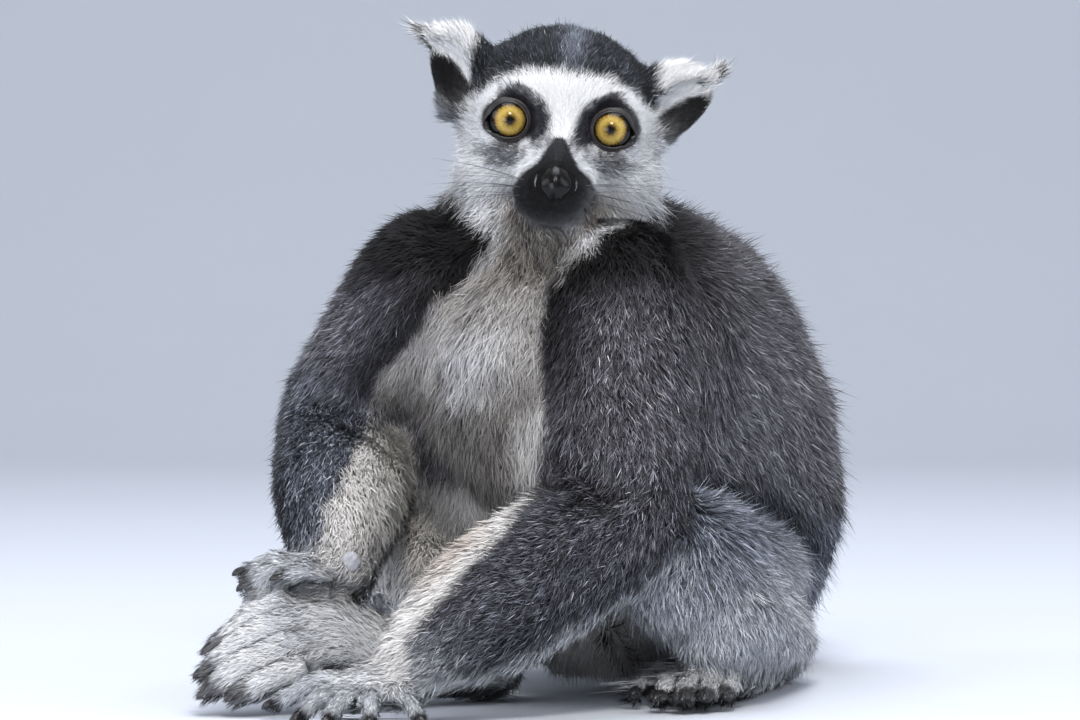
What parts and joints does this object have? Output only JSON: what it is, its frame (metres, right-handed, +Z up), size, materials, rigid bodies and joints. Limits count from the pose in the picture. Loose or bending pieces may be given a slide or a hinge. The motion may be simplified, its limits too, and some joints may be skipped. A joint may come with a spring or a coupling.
{
  "type": "ring-tailed lemur",
  "caption": "Ring-tailed lemur as a still, life-size figure, sitting hunched on the floor with its arms crossed over one foot and its ringed tail curled behind it.",
  "frame": {"origin": "middle of the footprint, on the floor", "axes": "+Z up, the face looks along -Y, the animal's left side is on +X"},
  "size_m": [0.2162, 0.49, 0.2216],
  "materials": {
    "pale_coat": "short pale grey and white fur with black marks round the eyes and on the muzzle",
    "white_coat": "short white fur",
    "brown_coat": "dense brownish grey fur with light and dark bands on each hair",
    "grey_coat": "dense bluish grey fur with light and dark bands on each hair",
    "tail_coat": "fluffy fur in black and white rings",
    "eye": "clear wet surface over an amber iris"
  },
  "bodies": {
    "root": {"head": "pale_coat", "ear_left": "white_coat", "ear_right": "white_coat", "eye_left": "eye", "eye_right": "eye", "neck": "brown_coat", "trunk": "brown_coat", "upper_arm_left": "brown_coat", "upper_arm_right": "brown_coat", "forearm_left": "grey_coat", "forearm_right": "grey_coat", "hand_left": "pale_coat", "hand_right": "pale_coat", "thigh_left": "grey_coat", "thigh_right": "grey_coat", "shin_left": "grey_coat", "shin_right": "grey_coat", "foot_left": "white_coat", "foot_right": "white_coat", "tail_1": "tail_coat", "tail_2": "tail_coat", "tail_3": "tail_coat", "tail_4": "tail_coat"}
  },
  "joints": []
}
